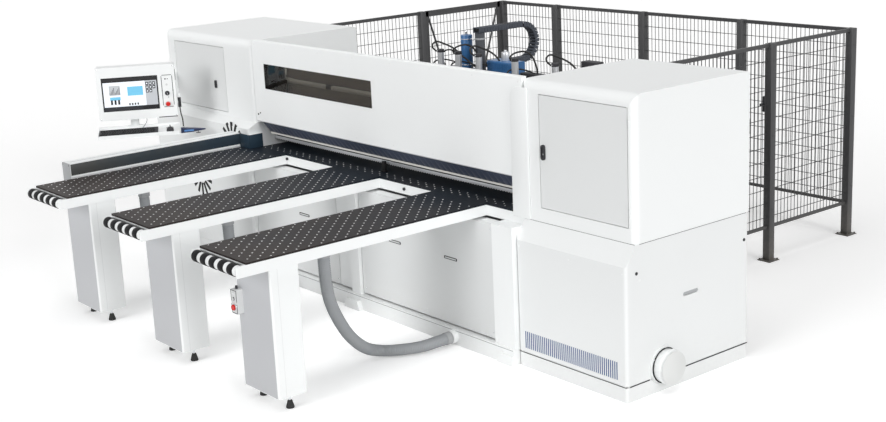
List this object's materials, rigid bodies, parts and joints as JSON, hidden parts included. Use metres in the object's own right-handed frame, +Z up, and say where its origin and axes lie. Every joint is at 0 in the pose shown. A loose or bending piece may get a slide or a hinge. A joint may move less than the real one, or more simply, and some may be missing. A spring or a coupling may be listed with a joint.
{
  "type": "beam saw",
  "caption": "Rear-loading panel beam saw with towers, pressure beam, air tables on arms, pusher with grippers, swivel console and rear safety fence.",
  "frame": {"origin": "on the floor under the middle of the machine's outline", "axes": "+Z up, +Y from the operator to the back of the machine, +X to the operator's right along the saw beam"},
  "size_m": [5.733, 5.809, 1.862],
  "materials": {
    "white_paint": "smooth satin paint",
    "grey_paint": "satin paint",
    "dark_paint": "fine textured paint",
    "blue_paint": "gloss paint",
    "phenolic_board": "smooth laminate board",
    "black_plastic": "fine grained",
    "red_plastic": "gloss",
    "black_rubber": "matt",
    "steel": "ground",
    "aluminium": "anodised",
    "smoked_window": "smooth smoked sheet",
    "screen": "smooth",
    "hose_plastic": "ribbed",
    "chain_plastic": "matt"
  },
  "bodies": {
    "machine": {"bed_frame": "white_paint", "bed_panel_right": "white_paint", "bed_panel_left": "white_paint", "right_cabinet": "white_paint", "right_tower": "white_paint", "left_cabinet": "white_paint", "left_tower": "white_paint", "beam_guard": "white_paint", "guard_window": "smoked_window", "beam_girder": "grey_paint", "front_table": "phenolic_board", "rear_table": "grey_paint", "arm_right": "white_paint", "arm_top_right": "phenolic_board", "arm_middle": "white_paint", "arm_top_middle": "phenolic_board", "arm_left": "white_paint", "arm_top_left": "phenolic_board", "leg_right": "white_paint", "leg_middle": "white_paint", "leg_left": "white_paint", "squaring_fence": "aluminium", "button_box": "grey_paint", "extraction_hose": "hose_plastic", "console_column": "dark_paint", "safety_fence": "dark_paint", "side_fence": "dark_paint"},
    "right_door": {"right_door": "white_paint"},
    "right_latch": {"right_latch": "black_plastic"},
    "left_door": {"left_door": "white_paint"},
    "left_latch": {"left_latch": "black_plastic"},
    "pressure_beam": {"pressure_beam": "aluminium"},
    "saw_carriage": {"saw_carriage": "grey_paint"},
    "saw_head": {"saw_head": "blue_paint"},
    "main_blade": {"main_blade": "steel"},
    "scoring_blade": {"scoring_blade": "steel"},
    "pusher": {"pusher_carriage": "dark_paint", "pusher_drive": "blue_paint", "cable_chain": "chain_plastic"},
    "gripper_jaws": {"gripper_jaw_1": "aluminium", "gripper_jaw_2": "aluminium", "gripper_jaw_3": "aluminium", "gripper_jaw_4": "aluminium", "gripper_jaw_5": "aluminium"},
    "console": {"console_housing": "white_paint", "console_screen": "screen", "keyboard": "black_plastic", "keyboard_cord": "black_plastic", "blow_gun": "blue_paint", "air_hose": "black_rubber"},
    "console_stop": {"console_stop": "red_plastic"},
    "key_switch": {"key_switch": "steel"},
    "mouse": {"mouse": "black_plastic"},
    "gun_trigger": {"gun_trigger": "black_plastic"},
    "front_roller_right": {"front_roller_right": "black_rubber"},
    "front_roller_middle": {"front_roller_middle": "black_rubber"},
    "front_roller_left": {"front_roller_left": "black_rubber"},
    "safety_gate": {"safety_gate": "dark_paint"},
    "leg_stop": {"leg_stop": "red_plastic"},
    "leg_button": {"leg_button": "black_plastic"}
  },
  "joints": [
    {"name": "right_door_hinge", "type": "hinge", "parent": "machine", "child": "right_door", "pos_m": [2.7145, -0.9875, 1.412], "axis": [0, 0, 1], "range_deg": [0, 105]},
    {"name": "right_latch_turn", "type": "hinge", "parent": "right_door", "child": "right_latch", "pos_m": [2.0195, -0.9965, 1.412], "axis": [0, 1, 0], "range_deg": [0, 90]},
    {"name": "left_door_hinge", "type": "hinge", "parent": "machine", "child": "left_door", "pos_m": [-2.5535, -0.9875, 1.5], "axis": [0, 0, -1], "range_deg": [0, 24]},
    {"name": "left_latch_turn", "type": "hinge", "parent": "left_door", "child": "left_latch", "pos_m": [-1.9105, -0.9965, 1.453], "axis": [0, 1, 0], "range_deg": [0, 90]},
    {"name": "pressure_beam_lift", "type": "slide", "parent": "machine", "child": "pressure_beam", "axis": [0, 0, 1], "range_m": [-0.045, 0.045]},
    {"name": "saw_travel", "type": "slide", "parent": "machine", "child": "saw_carriage", "axis": [-1, 0, 0], "range_m": [0, 3.55]},
    {"name": "saw_lift", "type": "slide", "parent": "saw_carriage", "child": "saw_head", "axis": [0, 0, 1], "range_m": [0, 0.165]},
    {"name": "main_blade_spin", "type": "hinge", "parent": "saw_head", "child": "main_blade", "pos_m": [2.1195, -0.6665, 0.738], "axis": [0, 1, 0], "continuous": true},
    {"name": "scoring_blade_spin", "type": "hinge", "parent": "saw_head", "child": "scoring_blade", "pos_m": [1.8495, -0.6665, 0.758], "axis": [0, 1, 0], "continuous": true},
    {"name": "pusher_travel", "type": "slide", "parent": "machine", "child": "pusher", "axis": [0, 1, 0], "range_m": [-0.93, 1.36]},
    {"name": "gripper_clamp", "type": "slide", "parent": "pusher", "child": "gripper_jaws", "axis": [0, 0, -1], "range_m": [0, 0.06]},
    {"name": "console_swivel", "type": "hinge", "parent": "machine", "child": "console", "pos_m": [-2.26978, -1.5765, 1.35], "axis": [0, 0, 1], "range_deg": [-90, 12]},
    {"name": "console_stop_press", "type": "slide", "parent": "console", "child": "console_stop", "axis": [-0.866, 0.5, 0], "range_m": [0, 0.005], "stiffness_N_per_m": 2000},
    {"name": "key_turn", "type": "hinge", "parent": "console", "child": "key_switch", "pos_m": [-1.9719, -1.42055, 1.432], "axis": [-0.866, 0.5, 0], "range_deg": [0, 90]},
    {"name": "mouse_slide", "type": "slide", "parent": "console", "child": "mouse", "axis": [0.5, 0.866, 0], "range_m": [-0.02, 0.02]},
    {"name": "gun_trigger_press", "type": "slide", "parent": "console", "child": "gun_trigger", "axis": [0, 0, 1], "range_m": [0, 0.004], "stiffness_N_per_m": 1500},
    {"name": "right_roller_spin", "type": "hinge", "parent": "machine", "child": "front_roller_right", "pos_m": [1.1645, -2.8675, 0.955], "axis": [1, 0, 0], "continuous": true},
    {"name": "middle_roller_spin", "type": "hinge", "parent": "machine", "child": "front_roller_middle", "pos_m": [-0.0035, -2.8675, 0.955], "axis": [1, 0, 0], "continuous": true},
    {"name": "left_roller_spin", "type": "hinge", "parent": "machine", "child": "front_roller_left", "pos_m": [-1.2195, -2.8675, 0.955], "axis": [1, 0, 0], "continuous": true},
    {"name": "gate_hinge", "type": "hinge", "parent": "machine", "child": "safety_gate", "pos_m": [-2.6615, 1.8218, 0.9], "axis": [0, 0, 1], "range_deg": [0, 90]},
    {"name": "leg_stop_press", "type": "slide", "parent": "machine", "child": "leg_stop", "axis": [0, 1, 0], "range_m": [0, 0.005], "stiffness_N_per_m": 2000},
    {"name": "leg_button_press", "type": "slide", "parent": "machine", "child": "leg_button", "axis": [0, 1, 0], "range_m": [0, 0.003], "stiffness_N_per_m": 1500}
  ]
}
